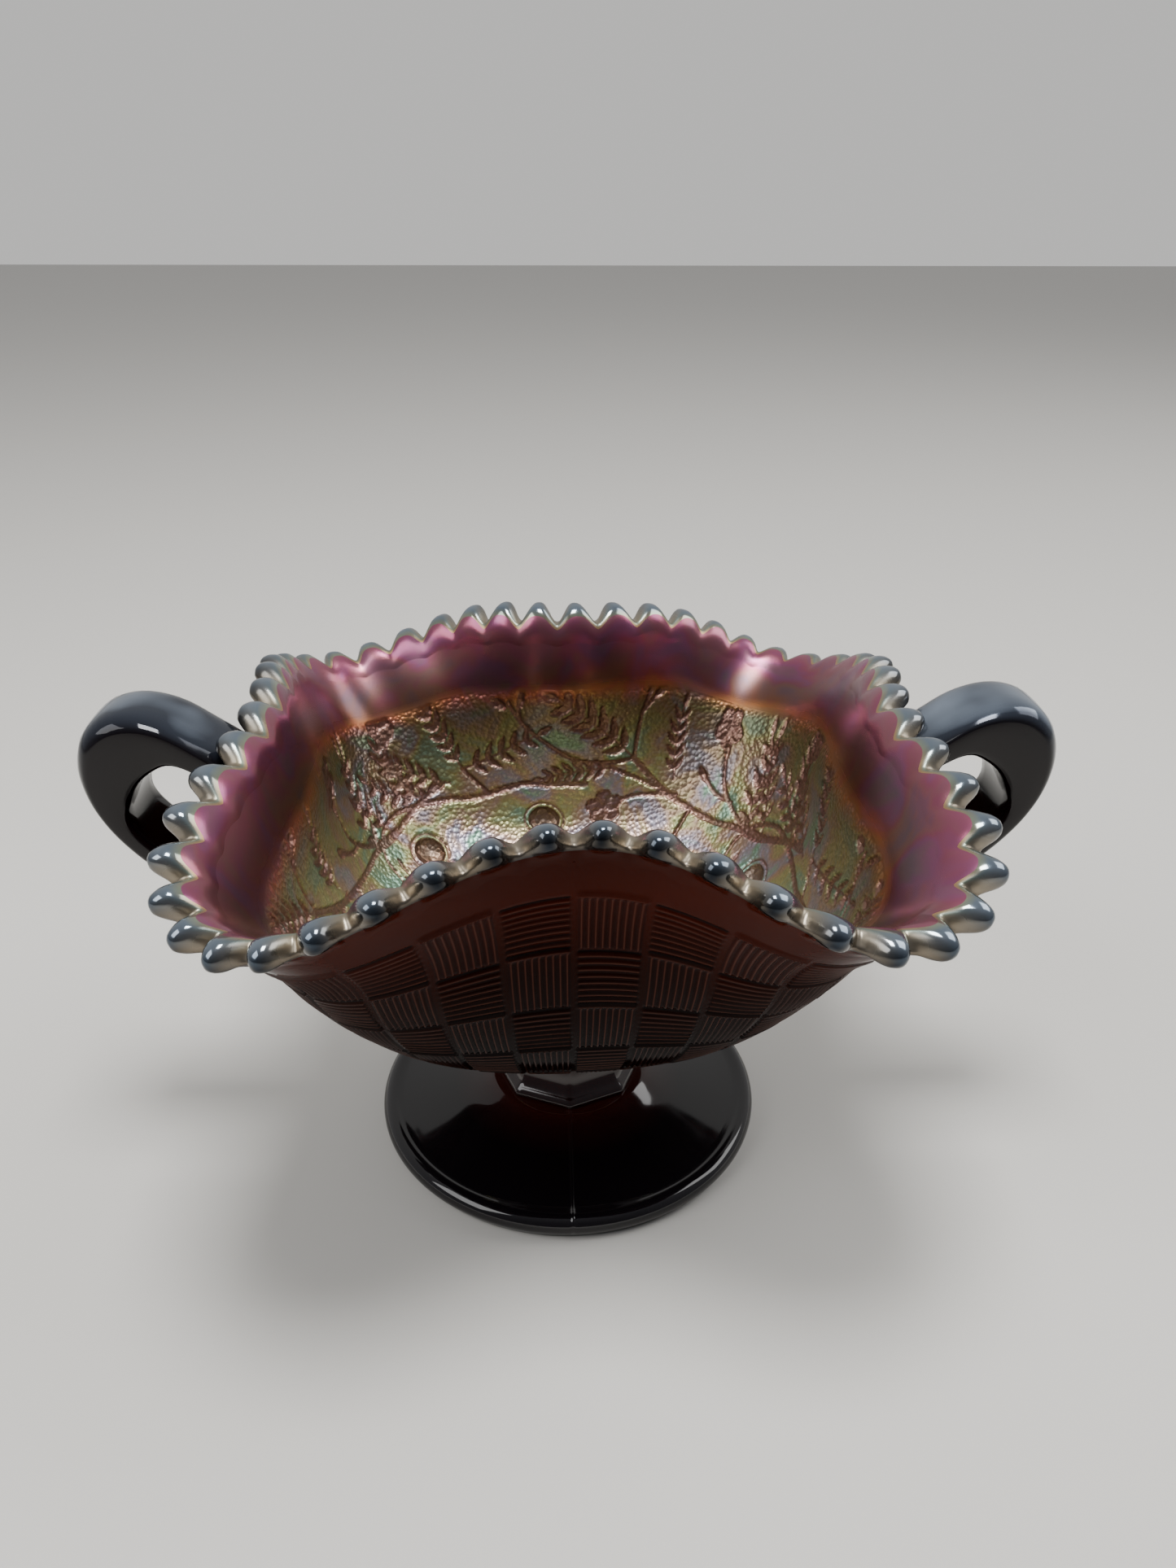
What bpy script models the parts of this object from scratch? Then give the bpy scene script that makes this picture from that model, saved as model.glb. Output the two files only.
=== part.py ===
"""A two-handled footed bowl of pressed carnival glass, as the glassmaker's sections of its casting.

Metres, +Z up. The origin is on the table under the middle of the foot, the handles lie along X and
the two mould seams along Y. The bowl and its rim are first made round, as they leave the mould, and
are then crimped: crimped() pulls the rim in at the front and back and lets four corners fall.
"""

import math

import bmesh
import bpy
from mathutils import Vector

GAP = 0.0003  # left between neighbouring sections
MERGE = 0.00001

# foot
FOOT_R = 0.041
FOOT_ROLL_R = 0.0023  # the rolled edge's own radius
FOOT_PAD_Z = 0.0105  # top of the foot, where the stem starts
STAND_INNER_R = 0.034  # the flat ring that it stands on lies outside this
FOOT_HOLLOW = 0.0026
FOOT_STEPS = 64

# stem, with eight sides
STEM_SIDES = 8
STEM_BOTTOM_R = 0.0162
STEM_WAIST_R = 0.0125
STEM_TOP_R = 0.0155

# bowl: the outside of the wall before crimping, as radius and height from the base to the rim
BASE_Z = 0.030
WALL = (
    (0.0163, BASE_Z),
    (0.0239, 0.033),
    (0.0352, 0.038),
    (0.0453, 0.045),
    (0.0518, 0.054),
    (0.0563, 0.064),
    (0.0603, 0.076),
    (0.0698, 0.0906),
)
WALL_T = 0.0042
BOWL_STEPS = 80
SHELL_TOP_Z = 0.0850  # the beaded rim starts just above this

# beaded rim
RIM_R, RIM_Z = WALL[-1]
TEETH = 52
STEPS_PER_TOOTH = 5
# The band's outline in a valley and at a tooth, from the torus's outermost point round over the top:
# each point is out from the wall's outer face and up along the wall from a tooth's centre.
VALLEY = (
    (0.0004, -0.0034),
    (0.0000, -0.0025),
    (-0.0012, -0.0022),
    (-0.0025, -0.0022),
    (-0.0036, -0.0031),
    (-0.0042, -0.0056),
    (-0.0021, -0.0061),
    (0.0000, -0.0056),
)
TOOTH = (
    (0.0024, -0.0008),
    (0.0021, 0.0008),
    (0.0005, 0.0017),
    (-0.0015, 0.0011),
    (-0.0032, -0.0008),
    (-0.0042, -0.0056),
    (-0.0021, -0.0061),
    (0.0002, -0.0052),
)
RIM_SLOPE = math.radians(56)  # the wall's slope at the rim

# crimp: how far the rim moves, as waves round the bowl, by wave number
CRIMP_X = {0: 0.0006, 1: 0.0008, 2: 0.0010, 3: -0.0029, 4: 0.0002, 5: -0.0037, 7: -0.0011, 8: -0.0003}
CRIMP_Y = {1: -0.0007, 3: 0.0140, 4: -0.0003, 5: -0.0030, 6: -0.0004, 7: 0.0012}
CRIMP_Z = {1: 0.0006, 2: -0.0018, 3: 0.0004, 4: 0.0066, 5: 0.0003, 8: -0.0011}
# how the front differs from the back, because the crimp is made by hand
UNEVEN_X = {1: -0.0003, 2: -0.0006, 5: 0.0004, 7: 0.0007}
UNEVEN_Z = {1: -0.0004, 2: -0.0003, 4: -0.0005, 6: -0.0002, 8: 0.0003}
CRIMP_POWER = 1.6  # how fast the crimp fades down the wall
LEAN = 0.03  # the reheated wall sags a little to one side

NEAR_TURN = 0.002  # steps either side of a point, to find which way the wall faces there
NEAR_UP = 0.0002

# handles: flat loops, drawn from the side as distance along X and height
HANDLE_SHIFT_X = 0.0012
HANDLE_W = 0.0172
HANDLE_ROUND = 0.0022  # rounding of the loop's edges
HANDLE_CROWN = (
    (0.0550, 0.0820),
    (0.0627, 0.0886),
    (0.0695, 0.0932),
    (0.0755, 0.0969),
    (0.0815, 0.0983),
    (0.0868, 0.0972),
    (0.0906, 0.0935),
    (0.0922, 0.0880),
    (0.0917, 0.0825),
    (0.0897, 0.0770),
    (0.0868, 0.0720),
    (0.0830, 0.0672),
    (0.0785, 0.0630),
    (0.0720, 0.0590),
    (0.0630, 0.0553),
    (0.0540, 0.0522),
    (0.0460, 0.0493),
)
FINGER_HOLE = (
    (0.0495, 0.0580),
    (0.0580, 0.0605),
    (0.0690, 0.0648),
    (0.0755, 0.0683),
    (0.0803, 0.0722),
    (0.0829, 0.0762),
    (0.0830, 0.0800),
    (0.0813, 0.0838),
    (0.0782, 0.0867),
    (0.0742, 0.0883),
    (0.0700, 0.0867),
    (0.0645, 0.0825),
    (0.0545, 0.0735),
)
KEEP_OUT_T = 0.0120  # depth of the cut that ends a handle at the wall


def clear_scene():
    for obj in list(bpy.data.objects):
        bpy.data.objects.remove(obj, do_unlink=True)


def make_collection(name):
    collection = bpy.data.collections.new(name)
    bpy.context.scene.collection.children.link(collection)
    return collection


def glass(name, colour, roughness, metallic):
    """A Principled material in one section's colour."""
    material = bpy.data.materials.new(name)
    material.use_nodes = True
    shader = material.node_tree.nodes["Principled BSDF"]
    shader.inputs["Base Color"].default_value = (*colour, 1.0)
    shader.inputs["Roughness"].default_value = roughness
    shader.inputs["Metallic"].default_value = metallic
    return material


def through(points, per_span):
    """Points on a smooth curve through the given ones (Catmull-Rom)."""
    knots = [Vector(p) for p in points]
    knots = [2 * knots[0] - knots[1], *knots, 2 * knots[-1] - knots[-2]]
    curve = []
    for a, b, c, d in zip(knots, knots[1:], knots[2:], knots[3:]):
        for i in range(per_span):
            t = i / per_span
            curve.append(
                0.5
                * (
                    2 * b
                    + (c - a) * t
                    + (2 * a - 5 * b + 4 * c - d) * t**2
                    + (3 * b - a - 3 * c + d) * t**3
                )
            )
    return [*curve, knots[-2]]


def placed(name, data, collection, material):
    obj = bpy.data.objects.new(name, data)
    collection.objects.link(obj)
    if material:
        data.materials.append(material)
    return obj


def turned(name, profile, steps, collection, material=None):
    """A profile of (radius, height) points, top to bottom, turned about Z."""
    mesh = bpy.data.meshes.new(name)
    corners = [(r, 0.0, z) for r, z in profile]
    mesh.from_pydata(corners, [(i, i + 1) for i in range(len(corners) - 1)], [])
    obj = placed(name, mesh, collection, material)
    screw = obj.modifiers.new("turn", "SCREW")
    screw.angle = math.tau
    screw.steps = screw.render_steps = steps
    screw.use_merge_vertices = True
    screw.merge_threshold = MERGE
    return obj


def made_mesh(obj):
    """Replaces a curve or a modified mesh by a plain mesh object of the same name."""
    bpy.context.view_layer.update()
    evaluated = obj.evaluated_get(bpy.context.evaluated_depsgraph_get())
    mesh = bpy.data.meshes.new_from_object(evaluated)
    name, collection, matrix = obj.name, obj.users_collection[0], obj.matrix_world.copy()
    bpy.data.objects.remove(obj, do_unlink=True)
    made = bpy.data.objects.new(name, mesh)
    made.matrix_world = matrix
    collection.objects.link(made)
    shape = bmesh.new()
    shape.from_mesh(mesh)
    bmesh.ops.remove_doubles(shape, verts=shape.verts, dist=MERGE)
    shape.to_mesh(mesh)
    shape.free()
    return made


def smooth_shaded(obj, degrees=40):
    obj.data.shade_smooth()
    obj.data.set_sharp_from_angle(angle=math.radians(degrees))
    return obj


def crimped(point):
    """Where a point of the round bowl goes when the hot rim is crimped."""
    turn = math.atan2(point.y, point.x)
    height = max(0.0, (point.z - BASE_Z) / (RIM_Z - BASE_Z))
    share = height**CRIMP_POWER
    sag = LEAN * 4 * height * max(0.0, 1 - height)
    moved = Vector(point)
    moved.x += share * sum(size * math.cos(n * turn) for n, size in CRIMP_X.items())
    moved.x += share * sum(size * math.sin(n * turn) for n, size in UNEVEN_X.items())
    moved.y += share * sum(size * math.sin(n * turn) for n, size in CRIMP_Y.items())
    moved.z += share * sum(size * math.cos(n * turn) for n, size in CRIMP_Z.items())
    moved.z += share * sum(size * math.sin(n * turn) for n, size in UNEVEN_Z.items())
    moved.z += sag * point.x
    return moved


def crimp(obj):
    for vertex in obj.data.vertices:
        vertex.co = crimped(vertex.co)
    return obj


def make_foot(collection):
    """Spreading foot: a low dome with a rolled edge, hollow underneath."""
    roll = [
        (
            FOOT_R - FOOT_ROLL_R + FOOT_ROLL_R * math.cos(math.radians(a)),
            0.0028 + FOOT_ROLL_R * math.sin(math.radians(a)),
        )
        for a in (120, 90, 60, 30, 0, -30)
    ]
    top = [(0, FOOT_PAD_Z), (STEM_BOTTOM_R + 0.0006, FOOT_PAD_Z), (0.019, 0.0092)]
    dome = [(0.026, 0.0068), (0.033, 0.0052), (0.0368, 0.0046)]
    under = [
        (FOOT_R - 0.0014, 0),
        (STAND_INNER_R, 0),
        (STAND_INNER_R - 0.0012, 0.0010),
        (0.027, 0.0020),
        (0, FOOT_HOLLOW),
    ]
    material = glass("black_amethyst_glass", (0.012, 0.006, 0.012), 0.06, 0.0)
    foot = turned("foot", top + dome + roll + under, FOOT_STEPS, collection, material)
    return smooth_shaded(made_mesh(foot))


def make_stem(collection):
    """Eight-sided stem with a waist, its corners in line with the mould seams."""
    profile = [
        (0, BASE_Z - GAP),
        (STEM_TOP_R, BASE_Z - GAP),
        (STEM_TOP_R - 0.0012, BASE_Z - 0.0025),
        (STEM_WAIST_R + 0.0004, 0.0240),
        (STEM_WAIST_R, 0.0200),
        (STEM_WAIST_R + 0.0006, 0.0165),
        (STEM_BOTTOM_R - 0.0017, 0.0135),
        (STEM_BOTTOM_R - 0.0002, 0.0118),
        (STEM_BOTTOM_R, FOOT_PAD_Z + GAP),
        (0, FOOT_PAD_Z + GAP),
    ]
    material = glass("stem_glass", (0.02, 0.008, 0.012), 0.08, 0.0)
    return turned("stem", profile, STEM_SIDES, collection, material)


def wall_profile(top_z, per_span):
    """The wall's outside from top_z down to the base and in to the axis."""
    wall = [tuple(p) for p in through(WALL, per_span)]
    kept = [p for p in wall if p[1] < top_z - 0.001]
    above = next(p for p in wall if p[1] >= top_z)
    below = kept[-1]
    share = (top_z - below[1]) / (above[1] - below[1])
    edge = (below[0] + share * (above[0] - below[0]), top_z)
    return [edge, *reversed(kept), (0.0, BASE_Z)]


def make_shell(name, collection, thickness, offset, material=None):
    """The crimped wall as a solid. An offset of -1 keeps it all inside the outer surface."""
    shell = turned(name, wall_profile(SHELL_TOP_Z, 2), BOWL_STEPS, collection, material)
    shell = crimp(made_mesh(shell))
    wall = shell.modifiers.new("wall", "SOLIDIFY")
    wall.thickness = thickness
    wall.offset = offset
    wall.use_even_offset = True
    return shell


def make_bowl(collection):
    material = glass("carnival_glass", (0.20, 0.09, 0.05), 0.12, 0.3)
    return smooth_shaded(make_shell("bowl", collection, WALL_T, -1.0, material), 60)


def on_wall(turn, up):
    """The crimped place of a point of the wall's outer face, up along it from the rim's line."""
    radius = RIM_R + up * math.cos(RIM_SLOPE)
    height = RIM_Z + up * math.sin(RIM_SLOPE)
    return crimped(Vector((radius * math.cos(turn), radius * math.sin(turn), height)))


def off_wall(turn, out, up):
    """A point square out from the crimped wall."""
    around = on_wall(turn + NEAR_TURN, up) - on_wall(turn - NEAR_TURN, up)
    climb = on_wall(turn, up + NEAR_UP) - on_wall(turn, up - NEAR_UP)
    return on_wall(turn, up) + out * around.cross(climb).normalized()


def make_rim(name, collection, extra=0.0, material=None):
    """The toothed band. extra thickens it all round, for the tool that trims the handles."""
    bpy.ops.mesh.primitive_torus_add(
        major_segments=TEETH * STEPS_PER_TOOTH,
        minor_segments=len(VALLEY),
        major_radius=RIM_R,
        minor_radius=0.001,
    )
    rim = bpy.context.object
    rim.name = name
    for owner in list(rim.users_collection):
        owner.objects.unlink(rim)
    collection.objects.link(rim)
    if material:
        rim.data.materials.append(material)
    for vertex in rim.data.vertices:
        turn = math.atan2(vertex.co.y, vertex.co.x)
        around = math.atan2(vertex.co.z, math.hypot(vertex.co.x, vertex.co.y) - RIM_R)
        corner = round(around / math.tau * len(VALLEY)) % len(VALLEY)
        tooth = abs(math.sin(TEETH / 2 * turn))
        spot = Vector(VALLEY[corner]).lerp(Vector(TOOTH[corner]), tooth)
        spot += extra * Vector((math.cos(around), math.sin(around)))
        vertex.co = off_wall(turn, spot.x, spot.y)
    return rim


def make_handle(name, side, keep_out, collection):
    """One loop handle; side is +1 on the right and -1 on the left."""
    data = bpy.data.curves.new(name, "CURVE")
    data.dimensions = "2D"
    data.fill_mode = "BOTH"
    data.extrude = HANDLE_W / 2 - HANDLE_ROUND
    data.bevel_depth = HANDLE_ROUND
    data.bevel_resolution = 1
    data.offset = -HANDLE_ROUND
    outline = through(HANDLE_CROWN, 2) + through(FINGER_HOLE, 2)
    spline = data.splines.new("POLY")
    spline.points.add(len(outline) - 1)
    for point, (x, z) in zip(spline.points, outline):
        point.co = (x, z, 0.0, 1.0)
    spline.use_cyclic_u = True
    handle = placed(name, data, collection, None)
    handle.rotation_euler = (math.pi / 2, 0.0, 0.0 if side > 0 else math.pi)
    handle.location.x = HANDLE_SHIFT_X
    handle = made_mesh(handle)
    colour = glass(f"{name}_glass", (0.03, 0.02, 0.03), 0.08, 0.2)
    handle.data.materials.append(colour)
    for cutter in keep_out:
        cut = handle.modifiers.new(f"trim_{cutter.name}", "BOOLEAN")
        cut.operation = "DIFFERENCE"
        cut.solver = "EXACT"
        cut.object = cutter
    return smooth_shaded(handle, 30)


def make_keep_out(collection):
    """Cutters: the wall and the rim, each a gap larger than the real one."""
    outside = -1.0 + 2 * GAP / KEEP_OUT_T
    wall = make_shell("wall_keep_out", collection, KEEP_OUT_T, outside)
    rim = make_rim("rim_keep_out", collection, extra=GAP)
    for cutter in (wall, rim):
        cutter.hide_render = True
        cutter.display_type = "WIRE"
    return (wall, rim)


def main():
    clear_scene()
    parts = make_collection("carnival_glass_bowl")
    tools = make_collection("cutters")
    make_foot(parts)
    make_stem(parts)
    make_bowl(parts)
    rim_glass = glass("rim_glass", (0.25, 0.26, 0.28), 0.15, 0.6)
    smooth_shaded(make_rim("beaded_rim", parts, material=rim_glass), 60)
    keep_out = make_keep_out(tools)
    make_handle("handle_right", 1, keep_out, parts)
    make_handle("handle_left", -1, keep_out, parts)


main()
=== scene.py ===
"""A footed, two-handled bowl of pressed carnival glass, from the foot up.

Metres, +Z up, the handles along X and the mould seams along Y, as in the CAD frame.
"""

import math

import bpy
import numpy as np
from mathutils import Matrix, Vector


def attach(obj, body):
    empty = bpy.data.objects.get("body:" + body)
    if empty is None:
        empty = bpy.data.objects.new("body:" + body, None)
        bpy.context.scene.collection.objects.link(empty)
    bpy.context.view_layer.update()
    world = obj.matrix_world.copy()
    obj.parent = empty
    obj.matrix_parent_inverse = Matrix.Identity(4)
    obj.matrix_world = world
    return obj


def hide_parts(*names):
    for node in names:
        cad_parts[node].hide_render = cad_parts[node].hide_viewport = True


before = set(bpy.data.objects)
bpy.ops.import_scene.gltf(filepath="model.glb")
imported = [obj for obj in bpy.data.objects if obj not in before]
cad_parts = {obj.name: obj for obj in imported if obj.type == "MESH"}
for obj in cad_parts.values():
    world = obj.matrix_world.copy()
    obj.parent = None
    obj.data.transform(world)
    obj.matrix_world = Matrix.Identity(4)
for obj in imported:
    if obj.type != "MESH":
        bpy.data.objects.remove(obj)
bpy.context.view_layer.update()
MM = 0.001

# ---- Foot -----------------------------------------------------------------------------------------
# Spreading foot of black amethyst glass, pressed in one with the stem and fire-polished afterwards:
# a low dome with a rolled edge. The mould's seam runs over it at the front and the back.

FOOT_R = 41.0
FOOT_PAD = 10.5  # height of its top, under the stem
ROLL_R = 2.3
ROLL_Z = 2.8
FOOT_DOME = ((16.8, 10.45), (19.0, 9.2), (22.0, 7.9), (26.0, 6.8), (30.0, 5.9), (34.0, 5.15), (36.9, 4.75))
FOOT_UNDER = ((39.6, 0.02), (34.2, 0.02), (32.6, 1.0), (27.0, 2.0), (10.0, 2.6))
SEAM_W = 0.34  # half the width of the mould seam
SEAM_H = 0.22
SEAM_TURNS = (-90.0, 90.0)
SEAM_STEPS = (0.15, 0.3, 0.5, 0.75, 1.1, 1.6)  # degrees to each side of a seam
CURVE_STEPS = 4
SEAMED_ROLL = 13  # points of the roll that the seam runs over


def rgb(code):
    """A colour of the glass, from sRGB hex to the linear values that a shader takes."""
    parts = [int(code[i : i + 2], 16) / 255 for i in (1, 3, 5)]
    return (*[p / 12.92 if p <= 0.04045 else ((p + 0.055) / 1.055) ** 2.4 for p in parts], 1.0)


def add(tree, kind, inputs=None, stops=None, **settings):
    """Adds a node with its settings, its ramp stops and what each input takes: a value or a link."""
    made = tree.nodes.new("ShaderNode" + kind)
    for key, value in settings.items():
        setattr(made, key, value)
    for key, value in (inputs or {}).items():
        if isinstance(value, bpy.types.NodeSocket):
            tree.links.new(value, made.inputs[key])
        else:
            made.inputs[key].default_value = value
    if stops:
        ramp = made.color_ramp
        while len(ramp.elements) < len(stops):
            ramp.elements.new(0.5)
        for element, (place, colour) in zip(ramp.elements, stops):
            element.position = place
            element.color = rgb(colour)
    return made


def new_material(name):
    """A glass material's tree and its Principled shader."""
    material = bpy.data.materials.new(name)
    material.use_nodes = True
    shader = material.node_tree.nodes["Principled BSDF"]
    shader.inputs["IOR"].default_value = 1.52
    return material, material.node_tree, shader


def smooth_curve(points, per_span):
    """Points on a smooth curve through the given ones (Catmull-Rom), as an array."""
    knots = np.array(points, float)
    knots = np.vstack([2 * knots[0] - knots[1], knots, 2 * knots[-1] - knots[-2]])
    a, b, c, d = (knots[i : len(knots) - 3 + i, None, :] for i in range(4))
    t = (np.arange(per_span) / per_span)[None, :, None]
    curve = 0.5 * (2 * b + (c - a) * t + (2 * a - 5 * b + 4 * c - d) * t**2 + (3 * b - a - 3 * c + d) * t**3)
    return np.vstack([curve.reshape(-1, knots.shape[1]), knots[-2]])


def glass_mesh(name, rings, materials, loop=False, slots=None, values=None):
    """A closed mesh from rings of points in mm, each ring going round the bowl's axis.

    A loop joins its last ring to its first; any other mesh is closed by a fan at each end. slots gives
    each band of faces its material, and values are numbers for the shader, one for every point.
    """
    count, around = rings.shape[:2]
    index = np.arange(count * around).reshape(count, around)
    below = np.roll(index, -1, axis=0) if loop else index[1:]
    above = index if loop else index[:-1]
    faces = np.stack([above, np.roll(above, -1, 1), np.roll(below, -1, 1), below], -1)
    bands = len(faces)
    faces = faces.reshape(-1, 4).tolist()
    points = rings.reshape(-1, 3)
    if not loop:
        ends = np.array([rings[0].mean(0), rings[-1].mean(0)])
        first, last = len(points), len(points) + 1
        points = np.vstack([points, ends])
        faces += [[first, int(b), int(a)] for a, b in zip(index[0], np.roll(index[0], -1))]
        faces += [[last, int(a), int(b)] for a, b in zip(index[-1], np.roll(index[-1], -1))]
    mesh = bpy.data.meshes.new(name)
    mesh.from_pydata((points * MM).tolist(), [], faces)
    for material in materials:
        mesh.materials.append(material)
    if slots is not None:
        each = np.repeat(np.asarray(slots, np.int32), around)
        each = np.concatenate([each, np.full(len(faces) - bands * around, slots[-1], np.int32)])
        mesh.polygons.foreach_set("material_index", each)
    for key, numbers in (values or {}).items():
        layer = mesh.attributes.new(key, "FLOAT", "POINT")
        flat = np.broadcast_to(numbers, rings.shape[:2]).astype(np.float32).reshape(-1)
        if not loop:
            flat = np.append(flat, [flat[0], flat[-1]])
        layer.data.foreach_set("value", flat.astype(np.float32))
    corners = points[np.array([f[:3] for f in faces])]
    volume = np.einsum("ij,ij->i", corners[:, 0], np.cross(corners[:, 1], corners[:, 2])).sum()
    if volume < 0:
        mesh.flip_normals()
    mesh.shade_smooth()
    piece = bpy.data.objects.new(name, mesh)
    bpy.context.scene.collection.objects.link(piece)
    return piece


def turned(profile, turns, widen=None):
    """Rings of points from a profile of (radius, height) points, in mm, at the given turns in radians."""
    radius, height = (np.asarray(profile)[:, i, None] for i in (0, 1))
    if widen is not None:
        radius = radius * widen[None, :]
    flat = np.ones_like(turns)[None, :]
    return np.stack([radius * np.cos(turns), radius * np.sin(turns), height * flat], -1)


def seam_lift(x, y, height=SEAM_H):
    """How far the mould seam stands up, at the front and the back of the piece."""
    return height * np.exp(-((x / SEAM_W) ** 2)) * (np.abs(y) > 1.0)


def seamed_turns(count):
    """Even steps round the axis, with closer ones where the seams are."""
    beside = [-d for d in reversed(SEAM_STEPS)] + [0, *SEAM_STEPS]
    close = [s + d for s in SEAM_TURNS for d in beside]
    even = np.linspace(-180, 180, count, endpoint=False)
    even = [t for t in even if min(abs(t - s) for s in SEAM_TURNS) > 2.0]
    return np.radians(np.sort(np.array(even + close)))


roll = [
    (FOOT_R - ROLL_R + ROLL_R * math.cos(a), ROLL_Z + ROLL_R * math.sin(a))
    for a in np.radians(np.linspace(112, -55, 15))
]
pad = [(3.0, FOOT_PAD), (9.0, FOOT_PAD), (15.5, FOOT_PAD)]
dome = smooth_curve(FOOT_DOME, CURVE_STEPS)
foot_profile = np.vstack([pad, dome, roll, FOOT_UNDER])
foot_rings = turned(foot_profile, seamed_turns(180))
upper = (np.arange(len(foot_profile)) < len(pad) + len(dome) + SEAMED_ROLL)[:, None]
foot_rings[..., 2] += upper * seam_lift(foot_rings[..., 0], foot_rings[..., 1])

# Black amethyst glass, fire-polished: near black, with a mirror gloss that the hand has smudged a
# little, soft ripples in what it reflects, and a dim red-brown where light gets in by the stem.
foot_glass, tree, shader = new_material("black_amethyst_fire_polished")
place = add(tree, "TexCoord").outputs["Object"]
flat = add(tree, "VectorMath", {0: place, 1: (1.0, 1.0, 0.0)}, operation="MULTIPLY")
reach = add(tree, "VectorMath", {0: flat.outputs[0]}, operation="LENGTH").outputs["Value"]
share = add(tree, "Math", {0: reach, 1: FOOT_R * MM}, operation="DIVIDE").outputs[0]
tint = add(
    tree,
    "ValToRGB",
    {"Fac": share},
    stops=((0.36, "#3a120c"), (0.47, "#220b0b"), (0.62, "#0c0709"), (1.0, "#100c10")),
)
tree.links.new(tint.outputs["Color"], shader.inputs["Base Color"])
smudge = add(tree, "TexNoise", {"Vector": place, "Scale": 70.0, "Detail": 4.0})
gloss = add(
    tree,
    "MapRange",
    {"Value": smudge.outputs["Fac"], "From Min": 0.35, "From Max": 0.75, "To Min": 0.035, "To Max": 0.11},
)
tree.links.new(gloss.outputs["Result"], shader.inputs["Roughness"])
ripple = add(tree, "TexNoise", {"Vector": place, "Scale": 45.0, "Detail": 1.0})
wave = add(tree, "Bump", {"Height": ripple.outputs["Fac"], "Strength": 0.25, "Distance": 0.0006})
tree.links.new(wave.outputs["Normal"], shader.inputs["Normal"])

foot = glass_mesh("glass_foot", foot_rings, [foot_glass])
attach(foot, "root")
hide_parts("foot")

# ---- Stem -----------------------------------------------------------------------------------------
# Short eight-sided stem with a waist, of the same glass, pressed with a corner on each mould seam. It
# is one piece with the foot and the bowl in the real glass.

STEM_SIDES = 8
STEM_PROFILE = (
    (15.5, 29.7),
    (15.3, 28.4),
    (14.3, 27.2),
    (12.95, 24.0),
    (12.5, 20.0),
    (13.0, 16.8),
    (14.3, 13.7),
    (15.7, 12.2),
    (16.15, 11.4),
    (16.0, 10.8),
)
stem_turns = np.radians(np.arange(-180, 180, 1.875))
side = math.tau / STEM_SIDES
across = np.abs((stem_turns % side) - side / 2)
octagon = math.cos(side / 2) / np.cos(across)
octagon = np.minimum(octagon, 1 - 0.3 * (octagon - 0.985).clip(0))
stem_rings = turned(smooth_curve(STEM_PROFILE, 5), stem_turns, octagon)

# The same glass as the foot. The deep red-brown in the waist is a painted glow, as of light through the
# thinner glass, set by height.
stem_glass, tree, shader = new_material("black_amethyst_stem")
place = add(tree, "TexCoord").outputs["Object"]
height = add(tree, "SeparateXYZ", {0: place}).outputs["Z"]
tint = add(
    tree,
    "ValToRGB",
    {"Fac": add(tree, "Math", {0: height, 1: 30.0 * MM}, operation="DIVIDE").outputs[0]},
    stops=((0.35, "#1c0b0b"), (0.6, "#2a0f0c"), (0.8, "#150a0a"), (1.0, "#080506")),
)
tree.links.new(tint.outputs["Color"], shader.inputs["Base Color"])
smudge = add(tree, "TexNoise", {"Vector": place, "Scale": 110.0, "Detail": 3.0})
gloss = add(
    tree,
    "MapRange",
    {"Value": smudge.outputs["Fac"], "From Min": 0.35, "From Max": 0.75, "To Min": 0.04, "To Max": 0.12},
)
tree.links.new(gloss.outputs["Result"], shader.inputs["Roughness"])

stem = glass_mesh("glass_stem", stem_rings, [stem_glass])
stem.data.set_sharp_from_angle(angle=math.radians(25))
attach(stem, "root")
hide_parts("stem")

# ---- Bowl -----------------------------------------------------------------------------------------
# Deep bowl pressed round between a mould and a plunger: basket weave outside, and inside fruiting
# branches on a stippled ground. While hot it was crimped in at the front and back, which squared it,
# and sprayed with metal salts, which left a lustre on the glass.

BASE_Z = 30.0
WALL = (
    (16.3, BASE_Z),
    (23.9, 33.0),
    (35.2, 38.0),
    (45.3, 45.0),
    (51.8, 54.0),
    (56.3, 64.0),
    (60.3, 76.0),
    (69.8, 90.6),
)
WALL_T = 4.2
# The crimp, in mm at the rim by wave number round the bowl, and how its back and front differ.
RIM_Z = WALL[-1][1]
CRIMP_X = {0: 0.6, 1: 0.8, 2: 1.0, 3: -2.9, 4: 0.2, 5: -3.7, 7: -1.1, 8: -0.3}
CRIMP_Y = {1: -0.7, 3: 14.0, 4: -0.3, 5: -3.0, 6: -0.4, 7: 1.2}
CRIMP_Z = {1: 0.6, 2: -1.8, 3: 0.4, 4: 6.6, 5: 0.3, 8: -1.1}
UNEVEN_X = {1: -0.3, 2: -0.6, 5: 0.4, 7: 0.7}
UNEVEN_Z = {1: -0.4, 2: -0.3, 4: -0.5, 6: -0.2, 8: 0.3}
CRIMP_POWER = 1.6  # how fast the crimp fades down the wall
LEAN = 0.03  # the hot wall sagged a little to one side


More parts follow.
